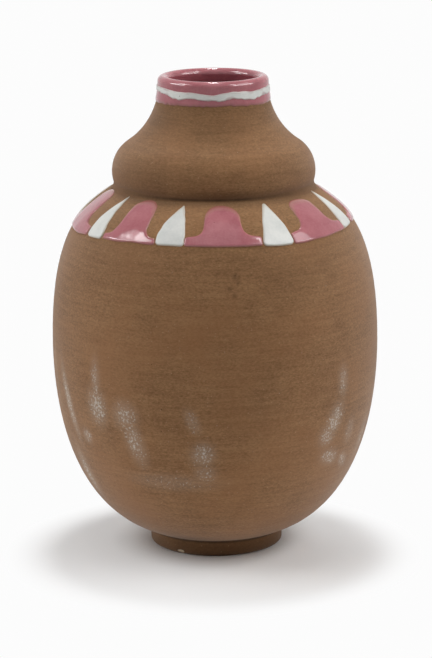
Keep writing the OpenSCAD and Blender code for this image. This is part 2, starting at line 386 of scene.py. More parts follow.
# Weights in their sums, in the order in which the materials name them
TONE_WEIGHTS = (0.4, 0.28, 0.55, 1.22)
RELIEF_WEIGHTS = (0.4, 0.5, 0.3)
CHALK_WEIGHTS = (0.6, 2.2)
GLAZE_WEIGHTS = (0.75, 0.25)
EDGE_WEIGHTS = (1.0, 0.4)
RIPPLE_WEIGHTS = (0.8, 0.06)

# Spans of such sums, and after them what some are mapped to. Most of a noise lies in its own span
NOISE_SPAN = (0.3, 0.7)
TONE_SPAN = (0.90, 1.55)
WARMTH_SPAN = (0.45, 0.75, 0, 0.6)
CHALK_SPAN = (1.58, 1.95, 0, 0.85)
GLAZE_SPAN = (0.38, 0.68)
EDGE_SPAN = (0.2, 1.1, 0.85, 0)
CHALK_VEIL = 0.25

# Spots: cells per metre, reach in cells, share of the cells that have one, and strength
PIT_SPOTS = dict(scale=210, reach=0.09, share=0.10, strength=0.8)
SAND_SPOTS = dict(scale=480, reach=0.16, share=0.25, strength=0.35)
SPECK_SPOTS = dict(scale=330, reach=0.13, strength=0.75)
SHARE_EDGE = 0.01

# Surfaces: relief, roughness, the faint sheen of dry clay, and the refraction of glaze
CLAY_BUMP = dict(strength=0.35, distance=0.5 * MM)
GLAZE_BUMP = dict(strength=0.22, distance=0.6 * MM)
CLAY_ROUGH = (0.78, 0.94)
CLAY_SHEEN = {"Specular IOR Level": 0.05, "Sheen Weight": 0.26, "Sheen Roughness": 0.5}
GLAZE_GLOSS = {"IOR": 1.52}

# Glazes: colours where they are thick, deep, thin and specked, share of specks, least and most roughness
GLAZES = {
    "pink_glaze": (PINK, PINK_DEEP, PINK_THIN, PINK_SPECK, 0.05, (0.06, 0.14)),
    "rim_glaze": (PINK, PINK_DEEP, RIM_THIN, PINK_SPECK, 0.05, (0.06, 0.14)),
    "line_glaze": (WHITE, WHITE_DEEP, LINE_THIN, LINE_SPECK, 0.14, (0.40, 0.50)),
    "white_glaze": (WHITE, WHITE_DEEP, WHITE_THIN, WHITE_SPECK, 0.05, (0.40, 0.50)),
    "lining_glaze": (LINING, LINING_DEEP, LINING_DEEP, LINING_SPECK, 0.08, (0.10, 0.20)),
}

# Camera at the photograph's place: frame height and focal length in pixels, sensor in millimetres
FRAME_HEIGHT = 658
FOCAL_PIXELS = 2730
SENSOR = 36
PITCH = math.radians(13)
ROLL = math.radians(-0.43)
AIM_HEIGHT = 119.7 * MM
DISTANCE = 1505 * MM
SIDE_STEP = 0.6 * MM

# Lamps: name, place, width and height, power, whether they show as gloss, and whether they shade. The wide
# soft boxes at the sides do both, the panels, the ceiling and the small box above, which throws the shadow
# forward, only shade, and the others only show as gloss
LAMP_AIM = Vector((0, 0, 150 * MM))
LAMPS = [
    ("left_box", (-1.01, -0.26, 1.22), (0.73, 0.40), 3.0, True, True),
    ("right_box", (0.96, -0.39, 1.22), (1.15, 0.40), 5.5, True, True),
    ("left_panel", (-1.30, 0.05, 0.35), (1.2, 0.6), 7.0, False, True),
    ("right_panel", (1.30, 0.05, 0.80), (1.2, 1.0), 7.7, False, True),
    ("ceiling", (0, -0.25, 1.65), (1.0, 1.0), 6.5, False, True),
    ("top_box", (-0.02, 0.34, 1.61), (0.2, 0.2), 4.3, False, True),
    ("left_lamp", (-1.32, -0.14, 0.85), (1.0, 0.32), 12, True, False),
    ("right_lamp", (1.23, -0.50, 0.85), (1.2, 0.32), 14, True, False),
    ("left_window", (-0.97, -0.18, 1.26), (0.42, 0.32), 3.0, True, False),
    ("right_window", (0.73, -0.45, 1.41), (0.15, 0.32), 2.5, True, False),
    ("front_window", (0, -0.50, 1.40), (0.70, 0.90), 1.2, True, False),
    ("back_lamp", (0, 0.68, 1.49), (0.14, 0.26), 4, True, False),
]

# Light of the sky straight above, and the plain white that is seen behind the vase
SKY = 0.28
BACKGROUND = 0.975

# Floor: half its width, its tone near the vase and further out, and where it changes
FLOOR_HALF = 6.0
FLOOR_WHITE = 0.90
FLOOR_GREY = 0.45
GREY_FROM = 250 * MM
GREY_BY = 400 * MM

# Shadow on the floor: its middle, where it goes over to plain white, how much painted light, seen only
# directly and in gloss, lightens it beyond the foot, and the middle and reach of its deep part, which is
# not lightened
SHADOW_MIDDLE = Vector((-2 * MM, -26 * MM, 0))
WHITE_FROM = 80 * MM
WHITE_BY = 115 * MM
SHADOW_PALE = 0.33
PALE_FROM = 35 * MM
PALE_BY = 60 * MM
DEEP_MIDDLE = Vector((50 * MM, -70 * MM, 0))
DEEP_FROM = 15 * MM
DEEP_BY = 80 * MM

# Heights that the frame gives, and how often the shoulder's pattern repeats
foot_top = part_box("foot_slip")[1].z
base_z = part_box("body")[0].z
step_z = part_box("body")[1].z
crease_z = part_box("collar_slip")[0].z
step_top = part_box("collar_slip")[1].z
seat_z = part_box("collar")[0].z
lining_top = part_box("lining")[1].z
rim_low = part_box("rim_glaze")[0].z
band_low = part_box("pink_tongue_1")[0].z
top_z = cad_box[1].z
repeats = sum(name.startswith("white_tooth_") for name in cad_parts)


# Profiles read from the frame

def wall(node, outward, low=-math.inf, high=math.inf):
    """Radius and height along a turned node's outer or inner wall, from the bottom up."""
    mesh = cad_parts[node].data
    keep = max if outward else min
    found = {}
    for face in mesh.polygons:
        reach = math.hypot(face.center.x, face.center.y)
        facing = (face.normal.x * face.center.x + face.normal.y * face.center.y) / reach
        if (facing if outward else -facing) < LEAST_FACING:
            continue
        for index in face.vertices:
            x, y, z = mesh.vertices[index].co
            if low - HEIGHT_GRAIN <= z <= high + HEIGHT_GRAIN:
                height = round(z / HEIGHT_GRAIN)
                radius = math.hypot(x, y)
                found[height] = keep(found.get(height, radius), radius)
    return np.array([(found[height], height * HEIGHT_GRAIN) for height in sorted(found)])


def curve(x, known, points):
    """Points at x on a smooth curve that passes through points at the known places."""
    slope = np.gradient(points, known, axis=0)
    i = np.clip(np.searchsorted(known, x) - 1, 0, len(known) - 2)
    span = (known[i + 1] - known[i])[:, None]
    t = (x - known[i])[:, None] / span
    return (points[i] * (1 + 2 * t) * (1 - t) ** 2 + slope[i] * span * t * (1 - t) ** 2
            + points[i + 1] * t ** 2 * (3 - 2 * t) + slope[i + 1] * span * t ** 2 * (t - 1))


def distances(path):
    """Distance along a path to each of its points."""
    return np.concatenate([[0], np.cumsum(np.linalg.norm(np.diff(path, axis=0), axis=1))])


def smooth_path(points, step=PROFILE_STEP):
    """Points about one step apart along a smooth curve through the given ones."""
    points = np.asarray(points, float)
    known = distances(points)
    return curve(np.linspace(0, known[-1], max(2, round(known[-1] / step)) + 1), known, points)


def above(path, low):
    """The stretch of a climbing path from a height up."""
    start = (np.interp(low, path[:, 1], path[:, 0]), low)
    return np.concatenate([[start], path[path[:, 1] > low + HEIGHT_GRAIN]])


def normals(path):
    """Unit normals of a path, on its outer side where the path climbs."""
    steps = np.gradient(path, axis=0)
    return np.stack([steps[:, 1], -steps[:, 0]], 1) / np.linalg.norm(steps, axis=1)[:, None]


def wrapped(angle):
    """Angles in radians, brought to within half a turn of 0."""
    return (angle + math.pi) % (2 * math.pi) - math.pi


def turn_of(node):
    """Angle in radians of the middle of a shoulder field's foot."""
    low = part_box(node)[0].z + FOOT_SLICE
    foot = [vertex.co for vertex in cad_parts[node].data.vertices if vertex.co.z < low]
    middle = sum(foot, Vector()) / len(foot)
    bearing = math.atan2(middle.x, -middle.y)
    turns = [wrapped(math.atan2(point.x, -point.y) - bearing) for point in foot]
    return bearing + (min(turns) + max(turns)) / 2


class Skin:
    """A surface that glaze lies on: a profile that can be read at any distance along it."""

    def __init__(self, path):
        self.path = path
        self.normal = normals(path)
        self.along = distances(path)
        self.length = self.along[-1]

    def at(self, along, lift):
        """Radius and height at a distance along the profile, lifted off it."""
        r, z, out, up = (np.interp(along, self.along, column) for column in (*self.path.T, *self.normal.T))
        return r + out * lift, z + up * lift

    def place(self, angle, along, lift):
        """Points in the frame at an angle in radians, a distance along the profile and a lift."""
        radius, height = self.at(along, lift)
        return np.stack([radius * np.sin(angle), -radius * np.cos(angle), height], -1)


# Profiles and radii that the pieces share
foot_path = smooth_path(wall("foot_ring", True), FOOT_STEP)
foot_inner = wall("foot_ring", False)
boss_r, boss_low = wall("foot_slip", False)[0]
body_path = smooth_path(wall("body", True, foot_top, crease_z))
body_inner = wall("body", False)
body_seat_r = wall("body", True, step_z, step_z)[0][0]
collar_path = smooth_path(wall("collar", True))
collar_inner = wall("collar", False, step_top)
collar_seat_r = wall("collar", False, seat_z, seat_z)[0][0]
throat_r = wall("collar_slip", False)[0][0]
rim_out = above(smooth_path(wall("collar", True), RIM_STEP), rim_low)
rim_in = above(smooth_path(collar_inner, RIM_STEP), lining_top - RIM_LAP)[::-1]
rim_skin = Skin(np.concatenate([rim_out, rim_in[1:]]))
band_skin = Skin(above(body_path, band_low - HANG_ROOM))
band_r = np.interp(band_low, band_skin.path[:, 1], band_skin.path[:, 0])
band_along = np.interp(band_low, band_skin.path[:, 1], band_skin.along)


# Forms of the hand, seeded where they are random

def wander(angle, along, seed, turns=5, pitch=60 * MM, terms=7):
    """Smooth uneven wave between about -1 and 1 that closes on itself round the vase."""
    rng = np.random.default_rng(seed)
    total = 0
    for _ in range(terms):
        count = rng.integers(1, turns + 1)
        rise = rng.uniform(-1, 1) * 2 * math.pi / pitch
        total = total + np.sin(count * angle + rise * along + rng.uniform(0, 2 * math.pi))
    return total / terms ** 0.5 / WAVE_PEAK


def bead(distance, width):
    """Rounded edge of a glaze: 0 at its outline, 1 from a width inward."""
    inward = np.clip(distance / width, 0, 1)
    return np.sqrt(1 - (1 - inward) ** 2)


def fade(value, low, high):
    """Smooth step from 0 at low to 1 at high."""
    t = np.clip((value - low) / (high - low), 0, 1)
    return t * t * (3 - 2 * t)


def bunched(count):
    """Shares from 0 to 1 that lie closer together at both ends."""
    return (1 - np.cos(np.linspace(0, math.pi, count))) / 2


def bearings(angle):
    """Angles in radians as degrees from the front, between -180 and 180."""
    return (np.degrees(angle) + 180) % 360 - 180


def knotted(bearing, knots):
    """Values at bearings on a smooth curve that goes round the vase through knots."""
    knots = np.array(knots, float)
    turns = np.concatenate([knots[:, 0] - 360, knots[:, 0], knots[:, 0] + 360])
    return curve(bearing, turns, np.tile(knots[:, 1:], (3, 1)))


# Meshes

def make_piece(name, vertices, faces, material, slot, *nodes):
    """A smooth mesh piece that rides on the vase and stands for CAD nodes."""
    mesh = bpy.data.meshes.new(name)
    mesh.from_pydata(vertices.tolist(), [], faces)
    mesh.shade_smooth()
    mesh.set_sharp_from_angle(angle=SHARP_ANGLE)
    mesh.materials.append(material)
    piece = bpy.data.objects.new(name, mesh)
    bpy.context.scene.collection.objects.link(piece)
    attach(piece, RIDES_ON)
    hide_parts(*nodes)
    return piece


def points_of(piece):
    """Places of a piece's points."""
    return np.array([vertex.co for vertex in piece.data.vertices])


def paint(piece, name, values):
    """A value for each point of a piece, for its material to read."""
    attribute = piece.data.attributes.new(name, "FLOAT", "POINT")
    attribute.data.foreach_set("value", np.asarray(values, np.float32).ravel())


def revolve(radius, height, loop=False):
    """Vertices and faces of a turned form. Radius and height have a row for each ring."""
    index = np.zeros(radius.shape, int)
    rings = []
    total = 0
    for row in range(len(radius)):
        size = 1 if radius[row].max() < AXIS_RADIUS else SEGMENTS
        index[row] = total + np.arange(SEGMENTS) % size
        r, angle = radius[row, :size], TURN[:size]
        rings.append(np.stack([r * np.sin(angle), -r * np.cos(angle), height[row, :size]], 1))
        total += size
    lower = index if loop else index[:-1]
    upper = np.roll(index, -1, 0) if loop else index[1:]
    quads = np.stack([lower, np.roll(lower, -1, 1), np.roll(upper, -1, 1), upper], -1).reshape(-1, 4)
    return np.concatenate(rings), [list(dict.fromkeys(quad)) for quad in quads.tolist()]


def rings_of(path, lift=None):
    """Radius and height of a path at every angle, moved along its normals by lift."""
    path = np.asarray(path, float)
    off = np.zeros((len(path), SEGMENTS))
    if lift is None:
        return path[:, :1] + off, path[:, 1:] + off
    normal = normals(path)
    return path[:, :1] + normal[:, :1] * (off + lift), path[:, 1:] + normal[:, 1:] * (off + lift)


def stacked(*parts):
    """Rings of several parts as one list, in order."""
    return [np.concatenate(column) for column in zip(*parts)]


def border(grid):
    """Values round the outline of a grid, in order."""
    return np.concatenate([grid[0, :-1], grid[:-1, -1], grid[-1, :0:-1], grid[:0:-1, 0]])


def closed_grid(over, under):
    """Vertices and faces of a closed form between two grids of points."""
    rows, columns = over.shape[:2]
    grid = np.arange(rows * columns).reshape(rows, columns)
    quads = np.stack([grid[:-1, :-1], grid[:-1, 1:], grid[1:, 1:], grid[1:, :-1]], -1).reshape(-1, 4)
    edge = border(grid)
    after = np.roll(edge, -1)
    below = rows * columns
    sides = np.stack([edge, edge + below, after + below, after], -1)
    faces = np.concatenate([quads, quads[:, ::-1] + below, sides]).tolist()
    return np.concatenate([over.reshape(-1, 3), under.reshape(-1, 3)]), faces


# Materials

def add(tree, kind, inputs=None, **settings):
    """A node with its settings, and with sockets or plain values at its inputs."""
    made = tree.nodes.new(kind)
    for name, value in settings.items():
        setattr(made, name, value)
    for name, value in (inputs or {}).items():
        if isinstance(value, bpy.types.NodeSocket):
            tree.links.new(value, made.inputs[name])
        else:
            made.inputs[name].default_value = value
    return made


def new_material(name):
    """An empty material, its node tree, and coordinates in metres from the foot."""
    material = bpy.data.materials.new(name)
    material.use_nodes = True
    tree = material.node_tree
    tree.nodes.clear()
    return material, tree, add(tree, "ShaderNodeTexCoord").outputs["Object"]


def noise(tree, where, scale=1, detail=2.0, roughness=0.5, stretch=None):
    """Cloudy noise, mostly between 0.3 and 0.7, with its own scale along each axis if it is stretched."""
    if stretch:
        where = add(tree, "ShaderNodeMapping", {"Vector": where, "Scale": stretch}).outputs["Vector"]
    inputs = {"Vector": where, "Scale": scale, "Detail": detail, "Roughness": roughness}
    return add(tree, "ShaderNodeTexNoise", inputs).outputs["Fac"]


def weigh(tree, weights, *values):
    """Sum of values, each times its weight."""
    total = 0.0
    for value, weight in zip(values, weights):
        inputs = {0: value, 1: weight, 2: total}
        total = add(tree, "ShaderNodeMath", inputs, operation="MULTIPLY_ADD").outputs[0]
    return total


def times(tree, a, b):
    """Product of two values."""
    return add(tree, "ShaderNodeMath", {0: a, 1: b}, operation="MULTIPLY").outputs[0]


def spread(tree, value, low, high, to_low=0.0, to_high=1.0, **settings):
    """A value mapped from one range to another and held at its ends."""
    inputs = {"Value": value, "From Min": low, "From Max": high, "To Min": to_low, "To Max": to_high}
    return add(tree, "ShaderNodeMapRange", inputs, **settings).outputs["Result"]


def spots(tree, where, scale, reach, share, strength):
    """Small round spots in a share of the cells of an uneven net."""
    cells = add(tree, "ShaderNodeTexVoronoi", {"Vector": where, "Scale": scale})
    near = spread(tree, cells.outputs["Distance"], reach, reach / 2)
    pick = add(tree, "ShaderNodeSeparateColor", {"Color": cells.outputs["Color"]}).outputs["Red"]
    return times(tree, times(tree, near, spread(tree, pick, share, share - SHARE_EDGE)), strength)


def blend(tree, factor, a, b):
    """Colour a where the factor is 0 and b where it is 1."""
    return add(tree, "ShaderNodeMix", {0: factor, 6: a, 7: b}, data_type="RGBA").outputs[2]


def painted(tree, name):
    """The value that was painted on each point, and 0 where none was."""
    return add(tree, "ShaderNodeAttribute", attribute_name=name).outputs["Fac"]


def surface(tree, base, rough, height, bump, constants):
    """The shader of a material, with its roughness, its bump and values that are the same all over."""
    bumps = {"Height": height, "Strength": bump["strength"], "Distance": bump["distance"]}
    normal = add(tree, "ShaderNodeBump", bumps).outputs["Normal"]
    inputs = {"Base Color": base, "Roughness": rough, "Normal": normal, **constants}
    shader = add(tree, "ShaderNodeBsdfPrincipled", inputs).outputs["BSDF"]
    add(tree, "ShaderNodeOutputMaterial", {"Surface": shader})


def bare_clay(tree, where):
    """Colour, relief and roughness of bare clay, mottled and finely grained along faint throwing lines."""
    broad = noise(tree, where, **CLAY_BROAD)
    mottle = noise(tree, where, **CLAY_MOTTLE)
    lines = noise(tree, where, **CLAY_LINES)
    grain = noise(tree, where, **CLAY_GRAIN)
    tone = weigh(tree, TONE_WEIGHTS, broad, mottle, lines, grain)
    base = blend(tree, spread(tree, tone, *TONE_SPAN), CLAY_DARK, CLAY_LIGHT)
    warmth = spread(tree, noise(tree, where, **CLAY_WARMTH), *WARMTH_SPAN)
    base = blend(tree, warmth, base, CLAY_RED)
    base = blend(tree, painted(tree, "tan"), base, CLAY_TAN)
    # Darker where painted: a darker tone in places, and painted shade on the foot, near the crease and in
    # patches that stand for shade
    base = blend(tree, painted(tree, "flash_and_shade"), base, CLAY_FLASH_AND_SHADE)
    relief = weigh(tree, RELIEF_WEIGHTS, lines, grain, mottle)
    return base, relief, spread(tree, grain, *NOISE_SPAN, *CLAY_ROUGH)


def clay_material():
    """Unglazed brown clay, with pits, pale sand, chalky scuffs and a pale chip."""
    material, tree, where = new_material("clay")
    base, relief, rough = bare_clay(tree, where)
    base = blend(tree, spots(tree, where, **PIT_SPOTS), base, PIT)
    base = blend(tree, painted(tree, "pit"), base, PIT)
    base = blend(tree, spots(tree, where, **SAND_SPOTS), base, SAND)
    scuff = painted(tree, "scuff")
    base = blend(tree, times(tree, scuff, CHALK_VEIL), base, CHALK)
    chalk = weigh(tree, CHALK_WEIGHTS, scuff, noise(tree, where, **CHALK_GRAIN))
    base = blend(tree, spread(tree, chalk, *CHALK_SPAN), base, CHALK)
    base = blend(tree, painted(tree, "chip"), base, CHIP_CLAY)
    surface(tree, base, rough, relief, CLAY_BUMP, CLAY_SHEEN)
    return material


def slip_material():
    """Dark dried slip in the joints, over bare clay where it is smeared out thin."""
    material, tree, where = new_material("slip")
    base, relief, rough = bare_clay(tree, where)
    mottle = noise(tree, where, **SLIP_MOTTLE)
    dark = blend(tree, spread(tree, mottle, *NOISE_SPAN), SLIP_DARK, SLIP_LIGHT)
    base = blend(tree, painted(tree, "slip"), base, dark)
    surface(tree, base, rough, relief, CLAY_BUMP, CLAY_SHEEN)
    return material


def glaze_material(name, thick, deep, thin, speck, specks, roughness):
    """Thick glaze: clouded, thin at its outline, faintly rippled, with a few specks."""
    material, tree, where = new_material(name)
    cloud = noise(tree, where, **GLAZE_CLOUD)
    grain = noise(tree, where, **GLAZE_GRAIN)
    tone = weigh(tree, GLAZE_WEIGHTS, cloud, grain)
    base = blend(tree, spread(tree, tone, *GLAZE_SPAN), thick, deep)
    edge = weigh(tree, EDGE_WEIGHTS, painted(tree, "edge"), grain)
    base = blend(tree, spread(tree, edge, *EDGE_SPAN), base, thin)
    base = blend(tree, spots(tree, where, share=specks, **SPECK_SPOTS), base, speck)
    rough = spread(tree, cloud, *NOISE_SPAN, *roughness)
    ripple = weigh(tree, RIPPLE_WEIGHTS, noise(tree, where, **GLAZE_RIPPLE), grain)
    surface(tree, base, rough, ripple, GLAZE_BUMP, GLAZE_GLOSS)
    return material


clay = clay_material()
slip = slip_material()
glazes = {name: glaze_material(name, *values) for name, values in GLAZES.items()}


# Clay pieces

def all_scuffs():
    """The scuffs that show, and a few more round the back."""
    rng = np.random.default_rng(SCUFF_SEED)
    drawn = [[rng.uniform(low, high) for low, high in SCUFF_RANGES] for _ in range(BACK_SCUFFS)]
    return SCUFFS + drawn


def marked(points, marks, falloff):
    """How strong marks on the clay are at each point."""
    angle = np.arctan2(points[:, 0], -points[:, 1])
    reach = np.hypot(points[:, 0], points[:, 1]) / MM
    total = np.zeros(len(points))
    for turn, middle, half_width, half_height, lean, strength in marks:
        across = wrapped(angle - math.radians(turn)) * reach
        up = points[:, 2] / MM - middle
        cosine = math.cos(math.radians(lean))
        sine = math.sin(math.radians(lean))
        wide = (across * cosine - up * sine) / half_width
        tall = (across * sine + up * cosine) / half_height
        total = np.maximum(total, strength * np.exp(-(wide ** 2 + tall ** 2) ** falloff))
    return total


def painted_crease_shade(height, reach):
    """Painted shade near the crease: darker clay where the crease's shadow falls."""
    return CREASE_SHADE * fade(np.abs(height - crease_z), reach, 0)


def thrown(height, low, high, seed):
    """Dip of a thrown wall: a slow unevenness and fine ridges, calm towards both ends."""
    calm = fade(height, low, low + CALM) * fade(height, high, high - CALM)
    uneven = np.clip(wander(TURN, height, seed, **UNEVEN_WAVE), -1, 1)
    drift = RIDGE_DRIFT * wander(TURN, height, seed + 1)
    ridges = np.sin(height * 2 * math.pi / RIDGE_PITCH + TURN + drift)
    return calm * (UNEVEN * (uneven - 1) + RIDGE * (ridges - 1)) / 2


def make_body():
    """Thrown body, with a wiped base inside the foot ring and a stepped seat for the collar."""
    out = np.linspace(0, boss_r, BASE_RINGS)[:, None]
    calm = fade(out, 0, SWIRL_FROM) * fade(out, boss_r, boss_r - SWIRL_EDGE)
    swirl = SWIRL * calm * np.sin(out / SWIRL_PITCH * 2 * math.pi - TURN)
    rings = stacked(
        rings_of(np.hstack([out, np.full_like(out, base_z)]), swirl),
        rings_of([(boss_r, foot_top)]),
        rings_of(body_path, thrown(body_path[:, 1:], foot_top, band_low - CALM_UNDER_BAND, BODY_SEED)),
        rings_of([(body_seat_r, crease_z), (body_seat_r, step_z)]),
        rings_of(smooth_path(body_inner[::-1], HIDDEN_STEP)),
        rings_of([(0, body_inner[0][1])]))
    piece = make_piece("vase_body", *revolve(*rings), clay, "clay", "body")
    points = points_of(piece)
    height = points[:, 2]
    paint(piece, "scuff", marked(points, all_scuffs(), SCUFF_FALLOFF))
    paint(piece, "pit", marked(points, PITS, SOFT_FALLOFF))
    paint(piece, "tan", TAN * fade(height, band_low - TAN_REACH, band_low + TAN_REACH))
    # Darker under the band and in patches, and painted shade on the shoulder next to the crease
    under_band = BAND_FLASH * fade(height, band_low - FLASH_REACH, band_low) * (height < band_low)
    paint(piece, "flash_and_shade", under_band + marked(points, SHADE_AND_TONE_PATCHES, SOFT_FALLOFF) + painted_crease_shade(height, ON_SHOULDER))


def make_collar():
    """Thrown collar: bulb, flared neck and the lip under the glaze."""
    rings = stacked(
        rings_of(collar_path, thrown(collar_path[:, 1:], seat_z, rim_low - CALM_UNDER_RIM, COLLAR_SEED)),
        rings_of(smooth_path(collar_inner[::-1], HIDDEN_STEP)[1:]),
        rings_of([(collar_seat_r, step_top), (collar_seat_r, seat_z)]))
    piece = make_piece("collar_clay", *revolve(*rings, loop=True), clay, "clay", "collar")
    points = points_of(piece)
    height = points[:, 2]
    # Darker over the collar, on the neck under the rim and in patches, and painted shade under the bulb
    # next to the crease
    neck = (NECK_FLASH - COLLAR_FLASH) * fade(height, rim_low - FLASH_REACH, rim_low - NECK_REACH)
    shade_and_tone_patches = marked(points, SHADE_AND_TONE_PATCHES, SOFT_FALLOFF)
    paint(piece, "flash_and_shade", COLLAR_FLASH + neck + shade_and_tone_patches + painted_crease_shade(height, UNDER_BULB))


def make_foot():
    """Foot ring, trimmed unevenly, with a chip out of its worn lower edge."""
    height = foot_path[:, 1:]
    ragged = 1 + CHIP_RAGGED * wander(TURN * CHIP_REPEATS, height, **CHIP_WAVE)
    chip = np.zeros((len(height), SEGMENTS))
    for turn, middle, half_width, half_height in CHIPS:
        across = wrapped(TURN - math.radians(turn)) * foot_path[:, 0].max() / (half_width * MM)
        off = across ** 2 + ((height / MM - middle) / half_height) ** 2
        chip = np.maximum(chip, np.clip((1 - off * ragged) * CHIP_SLOPE, 0, 1))
    trimmed = TRIM * wander(TURN, height, **TRIM_WAVE)
    trimmed = trimmed * fade(height, 0, TRIM_FROM) * fade(height, foot_path[-1][1], TRIM_TO)
    rings = stacked(rings_of(foot_path, trimmed - CHIP_DEPTH * chip), rings_of(foot_inner[::-1]))
    piece = make_piece("foot", *revolve(*rings, loop=True), clay, "clay", "foot_ring")
    paint(piece, "chip", np.concatenate([chip, np.zeros((len(foot_inner), SEGMENTS))]))
    # Painted shade: the whole foot is darker, most towards the floor, under the belly's shadow
    low = fade(points_of(piece)[:, 2], foot_top, 0)
    paint(piece, "flash_and_shade", FOOT_SHADE + (FOOT_LOW_SHADE - FOOT_SHADE) * low)


def make_joint(name, node, lower, upper, inner, reach, dark, flash_and_shade):
    """Luting slip of a joint, smeared into a hollow between two walls, with its locating step inside."""
    start = lower.at(lower.length - reach, -SMEAR_SINK)
    corner = (lower.path[-1] + upper.path[0]) / 2
    end = upper.at(reach, -SMEAR_SINK)
    t = np.linspace(0, 1, SMEAR_ROWS)[:, None]
    hollow = [a * (1 - t) ** 2 + b * 2 * t * (1 - t) + c * t ** 2 for a, b, c in zip(start, corner, end)]
    rings = stacked(hollow, rings_of(inner))
    piece = make_piece(name, *revolve(*rings, loop=True), slip, "slip", node)
    shown = dark * np.sin(math.pi * t) ** 2
    paint(piece, "slip", np.concatenate([shown, np.ones((len(inner), SEGMENTS))]))
    # The clay under a joint's thin slip gets the painted shade of the clay beside it
    paint(piece, "flash_and_shade", np.full(len(piece.data.vertices), flash_and_shade))


def make_foot_joint():
    """Slip between foot ring and body."""
    ring_r = foot_inner[-1][0]
    foot_r, ring_top = foot_path[-1]
    inner = [(foot_r, foot_top), (boss_r, foot_top), (boss_r, boss_low), (ring_r, boss_low),
             (ring_r, ring_top), (foot_r, ring_top)]
    reach = np.full(SEGMENTS, FOOT_SMEAR_REACH)
    dark = np.full(SEGMENTS, JOINT_DARK)
    make_joint("foot_joint", "foot_slip", Skin(foot_path), Skin(body_path), inner, reach, dark, FOOT_SHADE)


def make_collar_joint():
    """Slip between body and collar, darker in front and at the back as painted shade, and smeared out
    further at the sides.
    """
    crease_r = body_path[-1][0]
    bulb_r, bulb_z = collar_path[0]
    inner = [(bulb_r, bulb_z), (collar_seat_r, bulb_z), (collar_seat_r, step_top), (throat_r, step_top),
             (throat_r, step_z), (body_seat_r, step_z), (body_seat_r, crease_z), (crease_r, crease_z)]
    # Painted shade: the slip is darkest in front and at the back, where the crease's shadow falls
    facing = np.cos(TURN) ** 2
    reach = SMEAR_REACH + (FRONT_SMEAR_REACH - SMEAR_REACH) * facing
    dark = JOINT_DARK * facing
    make_joint("collar_joint", "collar_slip", Skin(body_path), Skin(collar_path), inner, reach, dark,
               CREASE_SHADE)


# Glaze pieces

def make_lining():
    """Glaze inside, pooled in the corner of the floor, from the middle of the floor up to the rim."""
    floor_r, floor_z = body_inner[0]
    floor = [(r, floor_z) for r in np.linspace(0, floor_r, FLOOR_RINGS, endpoint=False)]
    sides = np.concatenate([body_inner, collar_inner[collar_inner[:, 1] < lining_top]])
    clay_path = np.concatenate([floor, smooth_path(sides, INNER_STEP)])
    face = clay_path - LINING_THICKNESS * normals(clay_path)
    for _ in range(POOL_PASSES):
        middle = (face[:-2] + 2 * face[1:-1] + face[2:]) / 4
        low = fade(face[1:-1, 1:], floor_z + POOL_TOP, floor_z + POOL_FULL)
        face[1:-1] += low * (middle - face[1:-1])
    face[0, 0] = 0
    rings = stacked(rings_of(clay_path + SINK * normals(clay_path)), rings_of(face[::-1]))
    make_piece("inner_glaze", *revolve(*rings), glazes["lining_glaze"], "lining_glaze", "lining")


def make_rim():
    """Pink glaze over the lip, thin and ragged at its edge round the neck."""
    bearing = np.abs(bearings(TURN))
    low = RIM_EDGE * wander(TURN, 0, **RIM_EDGE_WAVE) + RIM_RAGGED * wander(TURN, 0, **RIM_RAGGED_WAVE)
    low = low + RIM_RISE * fade(bearing, RISE_FROM, RISE_BY)
    high = rim_skin.length + RIM_INSIDE_EDGE * wander(TURN, 0, **RIM_INSIDE_WAVE)
    along = low + (high - low) * bunched(RIM_ROWS)[:, None]
    edge = np.minimum(along - low, high - along)
    uneven = np.clip(wander(TURN, along, **RIM_UNEVEN_WAVE), -1, 1)
    lift = RIM_THICKNESS * bead(edge, RIM_BEAD) * (1 - RIM_UNEVEN + RIM_UNEVEN * uneven)
    radius, height = rim_skin.at(along, lift)
    dip = RIM_DIP * fade(bearing, DIP_FROM, 0) * fade(height, top_z - DIP_REACH, top_z)
    rings = stacked((radius, height - dip), rim_skin.at(along[::-1], -SINK))
    form = revolve(*rings, loop=True)
    piece = make_piece("rim_glaze_coat", *form, glazes["rim_glaze"], "pink_glaze", "rim_glaze")
    paint(piece, "edge", np.concatenate([edge, edge[::-1]]) / RIM_THIN_REACH)


def make_rim_line():
    """White line brushed round the rim in uneven waves."""
    high, low = knotted(bearings(TURN), LINE_KNOTS).T * MM
    low = low + LINE_RAGGED * wander(TURN, 0, **LINE_RAGGED_WAVE)
    high = high + LINE_EDGE * wander(TURN, 0, **LINE_EDGE_WAVE)
    low, high = (np.interp(rim_low + edge, rim_out[:, 1], distances(rim_out)) for edge in (low, high))
    along = low + (high - low) * bunched(LINE_ROWS)[:, None]
    edge = np.minimum(along - low, high - along)
    lift = LINE_THICKNESS * bead(edge, LINE_BEAD)
    over = rim_skin.at(along, RIM_THICKNESS + lift)
    under = rim_skin.at(along[::-1], RIM_THICKNESS - SINK)
    form = revolve(*stacked(over, under), loop=True)
    piece = make_piece("rim_line_coat", *form, glazes["line_glaze"], "white_glaze", "rim_line")
    worn = 1 - LINE_WORN * np.clip(wander(TURN, along, **LINE_WORN_WAVE), 0, 1)
    paint(piece, "edge", np.concatenate([edge * worn, (edge * worn)[::-1]]) / THIN_REACH)


def rounding(up, radius):
    """How far an outline draws in at a height above a corner of that radius."""
    below = np.clip(radius - up, 0, radius)
    return radius - np.sqrt(radius ** 2 - below ** 2)


